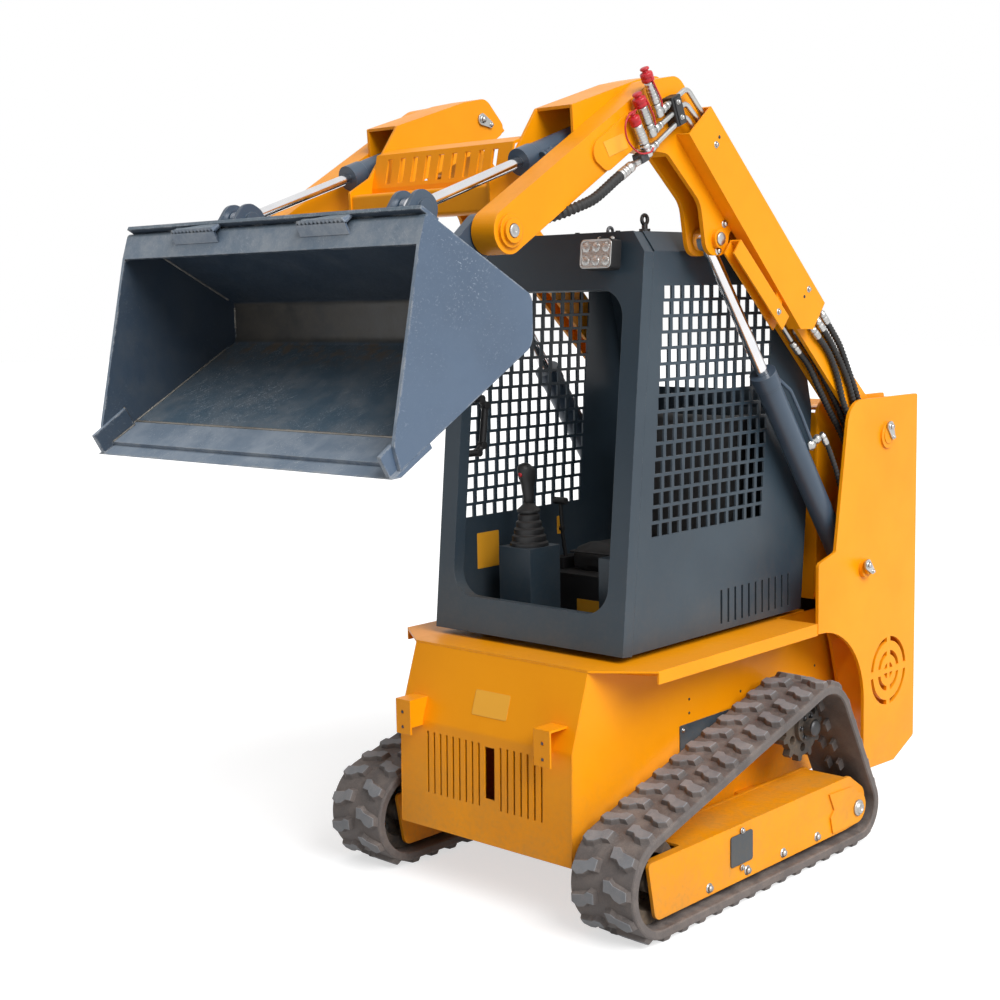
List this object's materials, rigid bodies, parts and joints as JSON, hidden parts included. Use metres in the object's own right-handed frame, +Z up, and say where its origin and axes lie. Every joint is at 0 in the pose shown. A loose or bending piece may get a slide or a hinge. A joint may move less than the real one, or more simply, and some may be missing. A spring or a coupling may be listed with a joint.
{
  "type": "tracked skid steer loader",
  "caption": "Compact tracked skid steer loader with an enclosed cab with grille windows, raised lift arms on hydraulic cylinders and a scuffed earth bucket, parked with the arms up.",
  "frame": {"origin": "on the ground under the middle of the machine's box", "axes": "+Z up, +Y to the machine's rear, +X to the operator's left"},
  "size_m": [1.1, 2.3252, 2.1677],
  "materials": {
    "paint": "amber yellow paint, dusty and scuffed",
    "slate": "satin slate grey paint",
    "bucket": "slate paint worn to steel",
    "rubber": "dusty rubber",
    "running_gear": "dark cast iron",
    "rod": "polished",
    "steel": "zinc plated",
    "trim": "matt black",
    "seat": "black vinyl",
    "engine": "cast",
    "cap": "red plastic"
  },
  "bodies": {
    "base": {"chassis": "paint", "front_panel": "paint", "arm_rests": "paint", "deck": "paint", "tower_left": "paint", "tower_right": "paint", "firewall": "paint", "engine": "engine", "cab_front": "slate", "cab_left": "slate", "cab_right": "slate", "cab_rear": "slate", "cab_roof": "slate", "cab_floor": "slate", "work_lamp": "trim", "lifting_eyes": "steel", "consoles": "slate", "joysticks": "trim", "seat_box": "trim", "seat": "seat", "hand_lever": "trim", "grab_handle": "trim", "track_frame_left": "paint", "track_frame_right": "paint", "wheels_left": "running_gear", "wheels_right": "running_gear", "belt_left": "rubber", "belt_right": "rubber"},
    "arm": {"arm_left": "paint", "arm_right": "paint", "hood_left": "paint", "hood_right": "paint", "cross_member": "paint", "arm_cover": "paint", "arm_prop": "paint", "aux_lines": "steel", "coupler_caps": "cap"},
    "bucket": {"hitch": "slate", "bucket": "bucket", "bucket_edge": "bucket"},
    "lift_barrels": {"lift_barrels": "slate"},
    "lift_rods": {"lift_rods": "rod"},
    "tilt_barrels": {"tilt_barrels": "slate"},
    "tilt_rods": {"tilt_rods": "rod"},
    "rear_door": {"rear_door": "paint"},
    "engine_hood": {"engine_hood": "paint"}
  },
  "joints": [
    {"name": "arm_lift", "type": "hinge", "parent": "base", "child": "arm", "pos_m": [0, 0.97656, 1.185], "axis": [-1, 0, 0], "range_deg": [-53.2, 20]},
    {"name": "bucket_tilt", "type": "hinge", "parent": "arm", "child": "bucket", "pos_m": [0, -0.66844, 1.765], "axis": [1, 0, 0], "range_deg": [-83.62, 31.5]},
    {"name": "lift_barrel_swing", "type": "hinge", "parent": "base", "child": "lift_barrels", "pos_m": [0, 0.84656, 0.797], "axis": [-1, 0, 0], "range_deg": [-46.92, 17.7]},
    {"name": "lift_rod_slide", "type": "slide", "parent": "lift_barrels", "child": "lift_rods", "axis": [0, -0.5955, 0.8034], "range_m": [-0.3468, 0.131]},
    {"name": "tilt_barrel_swing", "type": "hinge", "parent": "arm", "child": "tilt_barrels", "pos_m": [0, -0.02044, 2.09], "axis": [1, 0, 0], "range_deg": [-5.95, 2.3]},
    {"name": "tilt_rod_slide", "type": "slide", "parent": "tilt_barrels", "child": "tilt_rods", "axis": [0, -0.9485, -0.3169], "range_m": [-0.1978, 0.075]},
    {"name": "rear_door_swing", "type": "hinge", "parent": "base", "child": "rear_door", "pos_m": [-0.326, 1.15656, 0.7], "axis": [0, 0, 1], "range_deg": [0, 95]},
    {"name": "engine_hood_lift", "type": "hinge", "parent": "base", "child": "engine_hood", "pos_m": [0, 0.78256, 1.282], "axis": [1, 0, 0], "range_deg": [0, 70]}
  ],
  "couplings": [
    {"joint": "bucket_tilt", "follows": "arm_lift", "ratio": 1.57},
    {"joint": "lift_barrel_swing", "follows": "arm_lift", "ratio": 0.88},
    {"joint": "lift_rod_slide", "follows": "arm_lift", "m_per_rad": 0.37242},
    {"joint": "tilt_barrel_swing", "follows": "arm_lift", "ratio": 0.11},
    {"joint": "tilt_rod_slide", "follows": "arm_lift", "m_per_rad": 0.21199}
  ]
}
